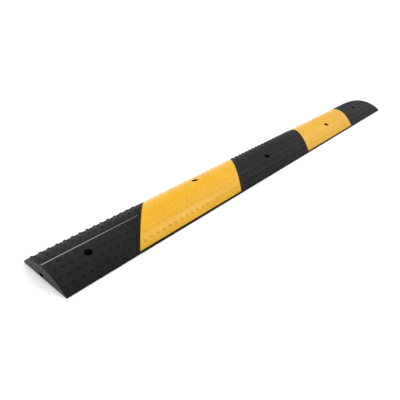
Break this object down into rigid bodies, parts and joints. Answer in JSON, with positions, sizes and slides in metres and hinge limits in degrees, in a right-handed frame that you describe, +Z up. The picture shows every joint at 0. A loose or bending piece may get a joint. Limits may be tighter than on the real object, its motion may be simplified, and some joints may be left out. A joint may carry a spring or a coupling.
{
  "type": "rubber speed bump",
  "caption": "Low rounded rubber speed bump of black and yellow modules with slanted joints, a studded top and counterbored bolt holes",
  "frame": {"origin": "middle of the flat underside, on the road surface", "axes": "X along the bump from the near end to the far end, Y across it, Z up; the bolt holes nearest the near end are on the -Y side"},
  "size_m": [2.438, 0.254, 0.0508],
  "materials": {
    "black_rubber": "matt moulded black rubber, slightly grainy, with small domed studs",
    "yellow_rubber": "satin moulded yellow rubber with small domed studs",
    "steel": "zinc plated steel, satin"
  },
  "bodies": {
    "root": {"near_end_module": "black_rubber", "black_middle_module": "black_rubber", "far_end_module": "black_rubber", "yellow_module_1_base": "black_rubber", "yellow_module_2_base": "black_rubber", "yellow_module_1_cover": "yellow_rubber", "yellow_module_2_cover": "yellow_rubber", "bolt_washer_1": "steel", "bolt_washer_2": "steel", "bolt_washer_3": "steel", "bolt_washer_4": "steel", "bolt_washer_5": "steel", "bolt_washer_6": "steel", "joint_pin_1_front": "steel", "joint_pin_1_back": "steel", "joint_pin_2_front": "steel", "joint_pin_2_back": "steel", "joint_pin_3_front": "steel", "joint_pin_3_back": "steel", "joint_pin_4_front": "steel", "joint_pin_4_back": "steel"}
  },
  "joints": []
}
